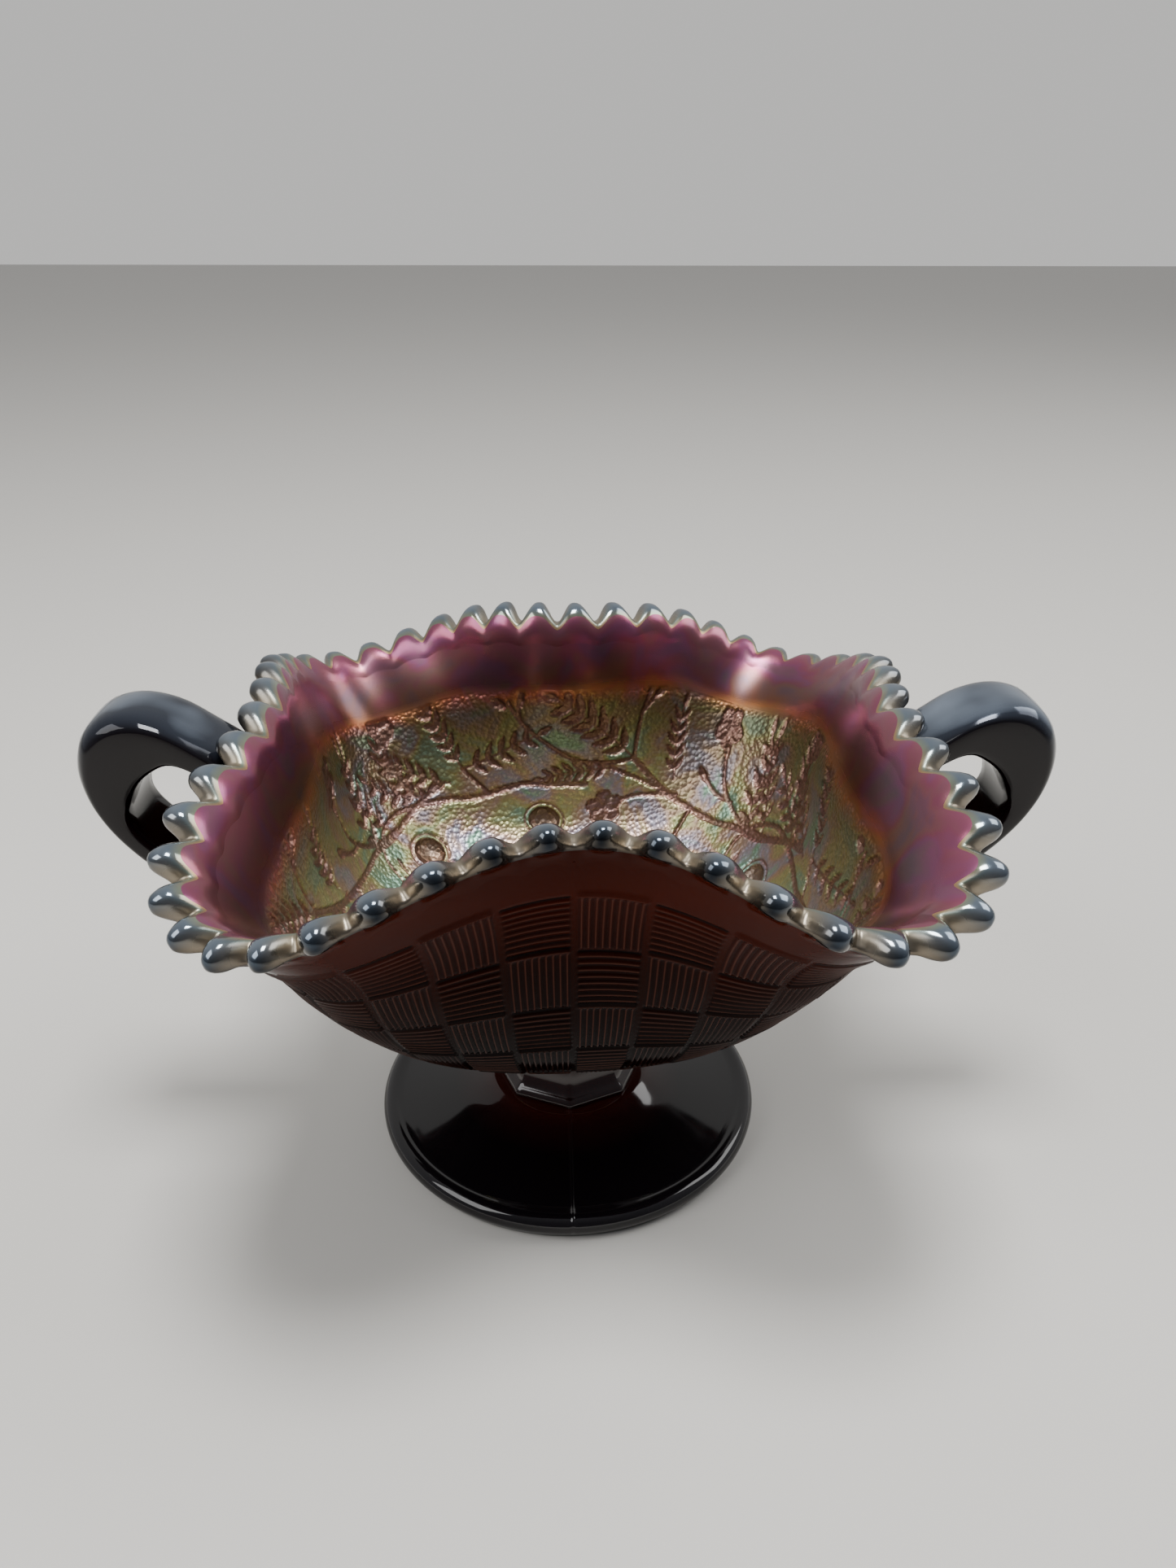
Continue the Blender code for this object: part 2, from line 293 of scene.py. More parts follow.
def crimped(points):
    """Where the points of the round pressing go when the hot rim is crimped."""
    x, y, z = points[..., 0], points[..., 1], points[..., 2]
    turn = np.arctan2(y, x)
    height = ((z - BASE_Z) / (RIM_Z - BASE_Z)).clip(0)
    share = height**CRIMP_POWER
    x = x + share * sum(size * np.cos(n * turn) for n, size in CRIMP_X.items())
    x = x + share * sum(size * np.sin(n * turn) for n, size in UNEVEN_X.items())
    y = y + share * sum(size * np.sin(n * turn) for n, size in CRIMP_Y.items())
    z = z + share * sum(size * np.cos(n * turn) for n, size in CRIMP_Z.items())
    z = z + share * sum(size * np.sin(n * turn) for n, size in UNEVEN_Z.items())
    z = z + LEAN * 4 * height * (1 - height).clip(0) * x
    return np.stack([x, y, z], -1)


def along(curve):
    """Distance along a curve, in mm, at each of its points."""
    return np.concatenate([[0], np.cumsum(np.linalg.norm(np.diff(curve, axis=0), axis=1))])


wall = smooth_curve(WALL, 60)
wall_s = along(wall)
LIP_SLOPE = wall[-1] - wall[-20]
LIP_SLOPE /= np.linalg.norm(LIP_SLOPE)
STEP_S = 0.15  # steps either side of a point, in mm and in radians, to find which way the wall faces
STEP_TURN = 0.002


def face_at(s, turns):
    """Crimped places on the wall's outer face, at distances s up it from the base and at turns."""
    past = (s - wall_s[-1]).clip(0)
    radius = np.interp(s, wall_s, wall[:, 0]) + past * LIP_SLOPE[0]
    height = np.interp(s, wall_s, wall[:, 1]) + past * LIP_SLOPE[1]
    return crimped(np.stack([radius * np.cos(turns), radius * np.sin(turns), height], -1))


def off_wall(s, turns, out):
    """Places square out from the crimped wall's outer face."""
    around = face_at(s, turns + STEP_TURN) - face_at(s, turns - STEP_TURN)
    climb = face_at(s + STEP_S, turns) - face_at(s - STEP_S, turns)
    normal = np.cross(around, climb)
    normal /= np.linalg.norm(normal, axis=-1)[..., None]
    return face_at(s, turns) + np.asarray(out)[..., None] * normal


# Basket weave: blocks of level ribs beside blocks of upright ribs, with plain strips between columns.
COLUMNS = 32
ROWS = 5
ROW_H = 10.1
WEAVE_TOP_Z = 79.9
LEVEL_RIBS = 8
UPRIGHT_RIBS = 9
RIB_H = 0.62
RIB_STEPS = 3
STRIP_STEPS = 3
column_steps = UPRIGHT_RIBS * RIB_STEPS + STRIP_STEPS
bowl_turns = -math.pi / 2 + math.tau * np.arange(COLUMNS * column_steps) / (COLUMNS * column_steps)
row_steps = LEVEL_RIBS * RIB_STEPS + 3


def ribbing(place, ribs):
    """Height of a row of round ribs, for a place from 0 to 1 across the block."""
    return (0.5 - 0.5 * np.cos(math.tau * ribs * place)) ** 0.8


weave_top = float(np.interp(WEAVE_TOP_Z, wall[:, 1], wall_s))
weave_foot = weave_top - ROWS * ROW_H
row_places = weave_top - ROW_H * np.arange(ROWS * row_steps + 1) / row_steps
OUTER_TUCK = 5.8  # how far below the rim's line the two faces of the wall end, under the rim
INNER_TUCK = 5.9
outer_s = np.concatenate(
    [
        [wall_s[-1] - OUTER_TUCK],
        np.linspace(wall_s[-1] - OUTER_TUCK - 0.2, weave_top + 0.5, 9),
        row_places,
        np.linspace(weave_foot - 0.6, 0.5, 9),
    ]
)
s_grid, step_grid = np.meshgrid(outer_s, np.arange(len(bowl_turns)), indexing="ij")
column = step_grid // column_steps
in_column = (step_grid % column_steps) / column_steps
down = (weave_top - s_grid) / ROW_H
row = np.floor(down)
in_row = down - row
strip = STRIP_STEPS / column_steps
block_x = ((in_column - strip / 2) / (1 - strip)).clip(0, 1)
block_y = ((in_row - 0.045) / 0.91).clip(0, 1)
inside_x = (in_column > strip / 2) & (in_column < 1 - strip / 2)
inside_y = (in_row > 0.03) & (in_row < 0.97) & (down >= 0) & (down < ROWS)
level = (column + row) % 2 == 1
weave = np.where(level, ribbing(block_y, LEVEL_RIBS) * inside_x, ribbing(block_x, UPRIGHT_RIBS))
weave = np.where(inside_x & inside_y, weave, 0.0)
border = (~level) & inside_x & (in_row < 0.04) & (down >= 0) & (down < ROWS)
weave = np.where(border, 0.8, weave)
relief_out = RIB_H * weave - 0.2 * inside_y * inside_x

# Branches inside: drawn on the plunger as a flat pattern whose middle is the middle of the bowl, with
# distances measured along the glass: u goes to the right handle and v to the back.
PATTERN_R = 80.0
MOTIF_REPEATS = 3

STEMS = (
    ((19.5, 60.5), (23, 55), (27, 49), (33, 42), (39, 35), (44, 30), (48, 23), (53, 17), (58, 10), (61, 3)),
    ((19.5, 60.5), (12, 61.5), (4, 63.5), (-4, 68), (-11, 72.5), (-15, 76)),
    ((19.5, 60.5), (21, 66), (23, 71), (26, 75)),
    ((6, 57), (-1, 57.5), (-10, 57), (-17, 54), (-24, 50.5), (-31, 48), (-38, 44)),
    ((-19, 52.5), (-23, 54.5), (-28, 57)),
    ((-38, 44), (-44, 38), (-47, 30), (-45, 24), (-41, 21.5)),
    ((51, 20), (47, 27), (44.5, 34), (44, 41), (45, 45), (47, 49)),
    ((30, 47), (24, 49.5), (19, 51), (15, 51)),
    ((44.5, 37), (41, 42), (39.5, 47)),
    ((33, 42), (27, 36), (23, 28), (21, 16), (15, 6)),
    ((23, 71), (27, 73), (30, 73.5)),
    ((-11, 72.5), (-12, 75), (-11.5, 77.5)),
    ((27, 49), (20, 55), (13, 60)),
)
LEAVES = (
    (((19.5, 60.5), (15, 66), (9, 72), (3, 76.5), (-2, 79)), 6, 9.0),
    (((14, 60), (8, 60.5), (1, 60.3), (-6, 58.5)), 6, 6.0),
    (((-28, 57), (-20, 62), (-12, 67), (-5, 71)), 5, 6.8),
    (((-28, 57), (-34, 62), (-40, 66), (-44, 67.5)), 5, 6.8),
    (((-31, 52.5), (-39, 51), (-47, 50), (-54, 48)), 5, 7.0),
    (((-33, 46), (-41, 45), (-49, 41), (-57, 38)), 5, 7.0),
    (((30, 51), (32, 58), (34, 63.5), (37, 68)), 5, 6.6),
    (((50, 22), (55, 31), (59, 38), (63, 44)), 5, 7.4),
    (((58, 10), (64, 17), (70, 21), (75, 22)), 5, 7.4),
    (((23, 28), (28, 22), (35, 20), (41, 22)), 4, 5.6),
    (((-41, 21.5), (-34, 17), (-27, 16), (-21, 19)), 4, 5.2),
    (((-45, 27), (-53, 27), (-61, 31), (-68, 36)), 5, 7.6),
)
FRUITS = ((-4.8, 47.5, 4.1), (-33, 32, 4.2), (36, 9, 3.8))
BUDS = ((-18, 75.2, 175), (29, 73.7, 15), (26.5, 76, 60), (-11, 78, 80), (48, 50.5, 60), (39, 48.5, 100))
BLOSSOMS = ((10.5, 50, 4.6), (50.5, 55, 5.0), (-55, 56.5, 4.8), (-16, 34, 4.4), (14, 33, 4.0))


def near(u, v, low, top_highlight, margin):
    """Indices of the points inside a box round a motif."""
    inside = (u > low[0] - margin) & (u < top_highlight[0] + margin) & (v > low[1] - margin) & (v < top_highlight[1] + margin)
    return np.nonzero(inside)[0]


def raise_to(relief, which, height):
    relief[which] = np.maximum(relief[which], height)


def press_stem(relief, u, v, points, half_width, height):
    """A round twig along a smooth line."""
    line = smooth_curve(points, 5)
    which = near(u, v, line.min(0), line.max(0), half_width)
    if not len(which):
        return
    spot = np.stack([u[which], v[which]], -1)
    best = np.full(len(which), 1e9)
    for start, end in zip(line, line[1:]):
        way = end - start
        t = (((spot - start) @ way) / (way @ way)).clip(0, 1)
        best = np.minimum(best, np.linalg.norm(spot - start - t[:, None] * way, axis=1))
    raise_to(relief, which, height * np.sqrt((1 - (best / half_width) ** 2).clip(0)))


def press_leaflet(relief, u, v, foot_at, heading, length, width, height):
    """A pointed, toothed leaflet, ridged to both sides of a sunk midrib."""
    which = near(u, v, foot_at, foot_at, length)
    if not len(which):
        return
    du, dv = u[which] - foot_at[0], v[which] - foot_at[1]
    t = (du * math.cos(heading) + dv * math.sin(heading)) / length
    off = np.abs(dv * math.cos(heading) - du * math.sin(heading))
    shape = np.sin(math.pi * t.clip(0, 1) ** 0.75) ** 0.8
    half = width / 2 * shape * (1 + 0.12 * np.sin(34 * t))
    fill = np.where((t > 0) & (t < 1) & (half > 0), (1 - (off / np.maximum(half, 1e-6)) ** 2).clip(0), 0)
    body = height * fill**0.6 * (1 - 0.35 * t)
    raise_to(relief, which, body - 0.22 * (fill > 0) * np.exp(-((off / 0.28) ** 2)))


def press_leaf(relief, u, v, points, pairs, length, swing):
    """A leaf of paired leaflets on a midrib, with one leaflet at the tip."""
    line = smooth_curve(points, 8)
    reach = along(line)
    press_stem(relief, u, v, points, 0.5, 0.42)
    for k in range(pairs + 1):
        share = 0.14 + 0.8 * k / pairs
        at = np.array([np.interp(share * reach[-1], reach, line[:, i]) for i in (0, 1)])
        ahead = np.array([np.interp((share + 0.05) * reach[-1], reach, line[:, i]) for i in (0, 1)])
        behind = np.array([np.interp((share - 0.05) * reach[-1], reach, line[:, i]) for i in (0, 1)])
        heading = math.atan2(*(ahead - behind)[::-1])
        size = length * (1.0 - 0.42 * abs(share - 0.45))
        if k == pairs:
            press_leaflet(relief, u, v, at, heading, size * 0.9, size * 0.36, 1.0)
            continue
        for hand in (-1, 1):
            press_leaflet(relief, u, v, at, heading + hand * swing, size * 0.78, size * 0.32, 1.0)


def press_dome(relief, u, v, at, radius, height, ringed=False):
    """A fruit: a smooth dome, in a thin raised ring when it is ringed."""
    which = near(u, v, at, at, radius * 1.5)
    far = np.hypot(u[which] - at[0], v[which] - at[1])
    raise_to(relief, which, height * np.sqrt((1 - (far / radius) ** 2).clip(0)))
    if ringed:
        raise_to(relief, which, 0.45 * np.exp(-(((far - radius * 1.22) / 0.42) ** 2)))


def press_bud(relief, u, v, at, heading):
    """A hip on its stalk: a long smooth drop."""
    which = near(u, v, at, at, 4.0)
    du, dv = u[which] - at[0], v[which] - at[1]
    t = (du * math.cos(heading) + dv * math.sin(heading)) / 2.6
    off = (dv * math.cos(heading) - du * math.sin(heading)) / 1.15
    raise_to(relief, which, 0.95 * np.sqrt((1 - t**2 - off**2).clip(0)))


def press_blossom(relief, u, v, at, radius):
    """An open flower: five dished petals round a small boss."""
    for k in range(5):
        a = math.tau * k / 5 + 0.3
        middle = (at[0] + 0.58 * radius * math.cos(a), at[1] + 0.58 * radius * math.sin(a))
        which = near(u, v, middle, middle, radius)
        far = np.hypot(u[which] - middle[0], v[which] - middle[1]) / (0.46 * radius)
        raise_to(relief, which, np.where(far < 1, 0.42 + 0.35 * far**2, 0) * (far < 1))
    press_dome(relief, u, v, at, 0.24 * radius, 0.95)


# The inside runs flat from its middle, then climbs with the wall; distances along it run on.
INSIDE_FROM = 14.8
FLOOR_BLOSSOM_R = 9.0
SUNK = 0.22
RING_END = 97.2
ring_s = np.concatenate(
    [
        [RING_END - INNER_TUCK],
        np.linspace(RING_END - INNER_TUCK - 0.2, PATTERN_R + 1.0, 11),
        np.linspace(PATTERN_R + 0.5, 14.0, 150),
        np.linspace(13.2, 1.0, 16),
    ]
)
ring_grid = np.repeat(ring_s[:, None], len(bowl_turns), 1)
turn_grid = np.repeat(bowl_turns[None, :], len(ring_s), 0)
relief_in = np.zeros(ring_grid.size)
for repeat in range(MOTIF_REPEATS):
    spun = (turn_grid - math.tau * repeat / MOTIF_REPEATS).ravel()
    u = ring_grid.ravel() * np.cos(spun)
    v = ring_grid.ravel() * np.sin(spun)
    for n, points in enumerate(STEMS):
        press_stem(relief_in, u, v, points, 0.95 if n in (0, 3) else 0.68, 0.62)
    for points, pairs, length in LEAVES:
        press_leaf(relief_in, u, v, points, pairs, length, math.radians(44))
    for x, y, radius in FRUITS:
        press_dome(relief_in, u, v, (x, y), radius, 1.7, True)
    for x, y, heading in BUDS:
        press_bud(relief_in, u, v, (x, y), math.radians(heading))
    for x, y, radius in BLOSSOMS:
        press_blossom(relief_in, u, v, (x, y), radius)
u = (ring_grid * np.cos(turn_grid)).ravel()
v = (ring_grid * np.sin(turn_grid)).ravel()
press_blossom(relief_in, u, v, (0, 0), FLOOR_BLOSSOM_R)
edge = ((PATTERN_R - ring_grid) / 1.2).clip(0, 1)
relief_in = relief_in.reshape(ring_grid.shape) * edge
# The ground of the pattern is sunk a little below the plain band above it.
relief_in_sunk = relief_in - SUNK * edge

FLOOR_Z = 33.9
climbing = ring_s > INSIDE_FROM
climb_s = (ring_grid[climbing] - INSIDE_FROM) * wall_s[-1] / (RING_END - INSIDE_FROM)
inside = off_wall(climb_s, turn_grid[climbing], -WALL_T + relief_in_sunk[climbing])
flat_r, flat_turn = ring_grid[~climbing], turn_grid[~climbing]
flat_z = FLOOR_Z + relief_in_sunk[~climbing]
flat = np.stack([flat_r * np.cos(flat_turn), flat_r * np.sin(flat_turn), flat_z], -1)
outside = off_wall(s_grid, bowl_turns[None, :], relief_out)
outside[..., 1] += seam_lift(outside[..., 0], outside[..., 1], 0.12) * np.sign(outside[..., 1])
bowl_rings = np.vstack([outside[::-1], inside, flat])
pressed = np.vstack([weave[::-1], relief_in])
# Painted shade: how far each point lies in a groove between ribs, where the colour is painted near black.
shade_in_grooves = ((0.5 - weave) * 2).clip(0, 1) * (inside_x & inside_y)
groove_shade = np.vstack([shade_in_grooves[::-1], np.zeros_like(relief_in)])
ring_share = np.concatenate([np.zeros(len(outer_s)), ring_s / RING_END])[:, None]

# Outside: pressed amethyst glass under a thin lustre, near black. A painted red-brown glow, as of light
# through the wall, warms it higher up; painted shade makes the grooves between the ribs black; and a lighter
# metallic colour along the tops of the ribs is partly the film and partly a painted sheen.
outside_glass, tree, shader = new_material("amethyst_glass_painted_glow")
place = add(tree, "TexCoord").outputs["Object"]
height = add(tree, "SeparateXYZ", {0: place}).outputs["Z"]
# Painted glow: the colour warms with height, as if light came through the upper wall.
low = add(tree, "MapRange", {"Value": height, "From Min": 0.030, "From Max": 0.100}).outputs["Result"]
cloud = add(tree, "TexNoise", {"Vector": place, "Scale": 38.0, "Detail": 2.0}).outputs["Fac"]
shift = add(tree, "Math", {0: cloud, 1: -0.5}, operation="ADD").outputs[0]
mixed = add(tree, "Math", {0: shift, 1: 0.22, 2: low}, operation="MULTIPLY_ADD").outputs[0]
tint = add(
    tree,
    "ValToRGB",
    {"Fac": mixed},
    stops=((0.0, "#070404"), (0.3, "#0e0605"), (0.55, "#220b05"), (0.8, "#3f1307"), (1.0, "#300e06")),
)
shader.inputs["Specular IOR Level"].default_value = 0.04
crest = add(tree, "Attribute", attribute_name="pressed").outputs["Fac"]
# Painted shade: the grooves are mixed toward near black.
painted_shade_factor = add(tree, "Attribute", attribute_name="groove_shade").outputs["Fac"]
shaded = add(
    tree, "Mix", {"Factor": painted_shade_factor, "A": tint.outputs["Color"], "B": rgb("#080303")}, data_type="RGBA"
)
# The rib tops take a lighter metallic colour: partly the film, partly a painted sheen standing in for their
# glints.
crest_film_and_sheen = add(tree, "MapRange", {"Value": crest, "From Min": 0.7, "From Max": 1.0, "To Max": 0.6})
colour_with_crest_sheen = add(
    tree,
    "Mix",
    {"Factor": crest_film_and_sheen.outputs["Result"], "A": shaded.outputs["Result"], "B": rgb("#56362d")},
    data_type="RGBA",
)
tree.links.new(colour_with_crest_sheen.outputs["Result"], shader.inputs["Base Color"])
tree.links.new(crest_film_and_sheen.outputs["Result"], shader.inputs["Metallic"])
shader.inputs["Roughness"].default_value = 0.13
grit = add(tree, "TexNoise", {"Vector": place, "Scale": 900.0, "Detail": 2.0})
skin = add(tree, "Bump", {"Height": grit.outputs["Fac"], "Strength": 0.18, "Distance": 0.0002})
tree.links.new(skin.outputs["Normal"], shader.inputs["Normal"])

# Inside: a metal lustre that acts as a mirror of changing colour: pastel at the middle, gold and
# bronze on the stippled ground, mauve on what stands up, a thin orange line where the pattern ends,
# and magenta on the plain band.
inside_glass, tree, shader = new_material("gold_to_magenta_lustre")
place = add(tree, "TexCoord").outputs["Object"]
ring = add(tree, "Attribute", attribute_name="ring_share").outputs["Fac"]
raised = add(tree, "Attribute", attribute_name="pressed").outputs["Fac"]
cloud = add(tree, "TexNoise", {"Vector": place, "Scale": 34.0, "Detail": 2.0}).outputs["Fac"]
shift = add(tree, "Math", {0: cloud, 1: -0.5}, operation="ADD").outputs[0]
drifted = add(tree, "Math", {0: shift, 1: 0.10, 2: ring}, operation="MULTIPLY_ADD").outputs[0]
ground = add(
    tree,
    "ValToRGB",
    {"Fac": drifted},
    stops=(
        (0.0, "#adb092"),
        (0.3, "#9d9f80"),
        (0.48, "#858262"),
        (0.66, "#6d684a"),
        (0.79, "#5b5236"),
        (0.825, "#8a4a2c"),
        (0.845, "#60262a"),
        (0.89, "#5c2f40"),
        (0.94, "#813c57"),
        (1.0, "#9a4f70"),
    ),
)
pearl_noise = add(tree, "TexNoise", {"Vector": place, "Scale": 85.0, "Detail": 3.0, "Distortion": 0.6})
pearl = add(
    tree,
    "ValToRGB",
    {"Fac": pearl_noise.outputs["Fac"]},
    stops=((0.34, "#7fc9b8"), (0.44, "#cfd08a"), (0.52, "#d8a79a"), (0.6, "#b9aede"), (0.68, "#7fcfc0")),
)
pearl_share = add(
    tree, "MapRange", {"Value": drifted, "From Min": 0.4, "From Max": 0.8, "To Min": 0.5, "To Max": 0.08}
).outputs["Result"]
lustre = add(
    tree,
    "Mix",
    {"Factor": pearl_share, "A": ground.outputs["Color"], "B": pearl.outputs["Color"]},
    data_type="RGBA",
)
on_top = add(tree, "MapRange", {"Value": raised, "From Min": 0.1, "From Max": 0.4, "To Max": 0.85})
coloured = add(
    tree,
    "Mix",
    {"Factor": on_top.outputs["Result"], "A": lustre.outputs["Result"], "B": rgb("#75554c")},
    data_type="RGBA",
)
tree.links.new(coloured.outputs["Result"], shader.inputs["Base Color"])
shader.inputs["Metallic"].default_value = 0.85
rough = add(
    tree,
    "MapRange",
    {"Value": ring, "From Min": 0.82, "From Max": 0.84, "To Min": 0.36, "To Max": 0.26},
)
tree.links.new(rough.outputs["Result"], shader.inputs["Roughness"])
# The stipple is punch marks, guessed as 0.8 mm across and drawn at 1.0 mm so that it shows.
stipple = add(tree, "TexVoronoi", {"Vector": place, "Scale": 1000.0}, feature="F1").outputs["Distance"]
ground_only = add(
    tree,
    "MapRange",
    {"Value": ring, "From Min": 0.815, "From Max": 0.825, "To Min": 1.0, "To Max": 0.0},
)
marks = add(tree, "Math", {0: stipple, 1: ground_only.outputs["Result"]}, operation="MULTIPLY").outputs[0]
punched = add(tree, "Bump", {"Height": marks, "Strength": 0.7, "Distance": 0.0003}, invert=True)
tree.links.new(punched.outputs["Normal"], shader.inputs["Normal"])

bowl = glass_mesh(
    "pressed_bowl",
    bowl_rings,
    [outside_glass, inside_glass],
    slots=[0] * len(outer_s) + [1] * (len(ring_s) - 1),
    values={"pressed": pressed, "groove_shade": groove_shade, "ring_share": ring_share},
)
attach(bowl, "root")
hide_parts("bowl")

# ---- Beaded rim -----------------------------------------------------------------------------------
# The bowl's edge: a thick rim cut by the mould into 52 rounded teeth, each a bead outside with a
# hollow between it and the next. The lustre is strongest here, so it looks like polished gunmetal.

TEETH = 52
TOOTH_STEPS = 16
TOOTH_FATNESS = 1.35
# Outlines in a valley and at a tooth, as distance out from the wall and up along it, in mm.
VALLEY = (
    (-0.08, -8.6),
    (0.06, -6.0),
    (0.2, -3.5),
    (-0.2, -2.8),
    (-1.1, -2.75),
    (-2.2, -2.75),
    (-3.1, -3.0),
    (-3.75, -3.7),
    (-4.27, -6.0),
    (-4.14, -8.8),
)
TOOTH = (
    (-0.08, -8.6),
    (0.1, -5.0),
    (0.95, -2.9),
    (2.1, -1.6),
    (2.35, 0.0),
    (1.1, 1.35),
    (-1.0, 1.2),
    (-2.9, -0.3),
    (-4.2, -3.6),
    (-4.14, -8.8),
)
rim_turns = math.tau * np.arange(TEETH * TOOTH_STEPS) / (TEETH * TOOTH_STEPS)
wave = np.abs(np.sin(TEETH / 2 * rim_turns))[None, :, None]
lift = 1 - (1 - wave**1.6) ** TOOTH_FATNESS
bulge = 1 - (1 - wave**1.8) ** TOOTH_FATNESS
valley = smooth_curve(VALLEY, CURVE_STEPS)[:, None, :]
tooth = smooth_curve(TOOTH, CURVE_STEPS)[:, None, :]
mix = np.concatenate([np.broadcast_to(bulge, lift.shape), lift], -1)
outline = valley + (tooth - valley) * mix
rim_rings = off_wall(wall_s[-1] + outline[..., 1], rim_turns[None, :], outline[..., 0])
across_rim = np.linspace(0, 1, len(valley))[:, None]
rim_ring_share = (RING_END + outline[..., 1]) / RING_END

# Gunmetal lustre: a silver mirror film on dark glass, with a thin rainbow line, yellow to blue, where the
# film thins out along the inner edge. Painted reflection and shade: the beads are painted near black on
# their outer, lower faces and light over the top, and the end faces of the hollows a light beige.
rim_glass, tree, shader = new_material("gunmetal_lustre")
place = add(tree, "TexCoord").outputs["Object"]
over = add(tree, "Attribute", attribute_name="across_rim").outputs["Fac"]
# Painted shade and reflection across a bead: near black below and outside, light over the top.
beaded = add(
    tree,
    "ValToRGB",
    {"Fac": over},
    stops=(
        (0.2, "#060505"),
        (0.36, "#0d0f13"),
        (0.46, "#1a1e24"),
        (0.55, "#4c5661"),
        (0.66, "#828d99"),
        (0.74, "#7d8a98"),
        (0.8, "#98a08c"),
    ),
)
# Painted reflection: the end faces of the hollows are light beige.
hollow = add(
    tree,
    "ValToRGB",
    {"Fac": over},
    stops=(
        (0.2, "#120b08"),
        (0.27, "#5f564b"),
        (0.45, "#978c7b"),
        (0.66, "#908672"),
        (0.74, "#7f8a7a"),
        (0.8, "#b08a60"),
    ),
)
on_bead = add(tree, "Attribute", attribute_name="bead").outputs["Fac"]
# The lustre's colours mixed with painted reflection and shade, by how far each point is on a bead.
film_and_painted_light = add(
    tree,
    "Mix",
    {"Factor": on_bead, "A": hollow.outputs["Color"], "B": beaded.outputs["Color"]},
    data_type="RGBA",
)
cloud = add(tree, "TexNoise", {"Vector": place, "Scale": 160.0, "Detail": 3.0}).outputs["Fac"]
faint = add(tree, "MapRange", {"Value": cloud, "From Min": 0.45, "From Max": 0.7, "To Max": 0.25})
hued = add(
    tree,
    "Mix",
    {"Factor": faint.outputs["Result"], "A": film_and_painted_light.outputs["Result"], "B": rgb("#3c4654")},
    data_type="RGBA",
)
tree.links.new(hued.outputs["Result"], shader.inputs["Base Color"])
shader.inputs["Metallic"].default_value = 0.88
# The hollows are a little matter than the beads.
smear = add(
    tree,
    "MapRange",
    {"Value": on_bead, "From Min": 0.2, "From Max": 0.7, "To Min": 0.34, "To Max": 0.13},
)
tree.links.new(smear.outputs["Result"], shader.inputs["Roughness"])

# The film of the rim ends a fifth of the way over at each side, where the bowl's own glass goes on.
rim_slots = [1 if share < 0.2 else 2 if share > 0.8 else 0 for share in across_rim[:, 0]]
rim_piece = glass_mesh(
    "toothed_rim",
    rim_rings,
    [rim_glass, outside_glass, inside_glass],
    loop=True,
    slots=rim_slots,
    values={
        "across_rim": across_rim,
        "ring_share": rim_ring_share,
        "pressed": 0.0,
        "bead": wave[..., 0] ** 2,
    },
)
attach(rim_piece, "root")
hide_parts("beaded_rim")

# ---- Handles --------------------------------------------------------------------------------------
# Two loops of solid glass pressed with the bowl, flat at the sides and crowned outside, rising from
# the lower wall, bending over and coming back under the rim. The opening takes a fingertip.

HANDLE_SHIFT = 1.2
CROWN = (
    (55.0, 82.0),
    (62.7, 88.6),
    (69.5, 93.2),
    (75.5, 96.9),
    (81.5, 98.3),
    (86.8, 97.2),
    (90.6, 93.5),
    (92.2, 88.0),
    (91.7, 82.5),
    (89.7, 77.0),
    (86.8, 72.0),
    (83.0, 67.2),
    (78.5, 63.0),
    (72.0, 59.0),
    (63.0, 55.3),
    (54.0, 52.2),
)
HOLE = (
    (54.5, 73.5),
    (64.5, 82.5),
    (70.0, 86.7),
    (74.2, 88.3),
    (78.2, 86.7),
    (81.3, 83.8),
    (83.0, 80.0),
    (82.9, 76.2),
    (80.3, 72.2),
    (75.5, 68.3),
    (69.0, 64.8),
    (58.0, 60.5),
    (52.0, 58.9),
)
HANDLE_STATIONS = 72
# Half of the section, from the crown's middle round to the inner face: distance to the side and depth.
OUTER_HALF = (
    (0.0, 0.1),
    (2.5, 0.14),
    (4.6, 0.32),
    (6.2, 0.8),
    (7.2, 1.45),
    (8.0, 2.2),
    (8.45, 2.9),
    (8.6, 3.6),
)
INNER_HALF = ((8.6, 2.2), (8.45, 1.3), (8.0, 0.55), (7.2, 0.1), (5.0, 0.0), (2.5, 0.0), (0.0, 0.0))
# How much of the film and its painted highlight each point of the half section keeps.
HALF_FILM_AND_HIGHLIGHT = (1.0, 1.0, 0.95, 0.85, 0.7, 0.5, 0.3, 0.12) + (0.0,) * len(INNER_HALF)


def evenly(points, count):
    """The given number of evenly spaced points on the smooth curve through some."""
    line = smooth_curve(points, 20)
    reach = along(line)
    places = np.linspace(0, reach[-1], count)
    return np.stack([np.interp(places, reach, line[:, i]) for i in (0, 1)], -1)


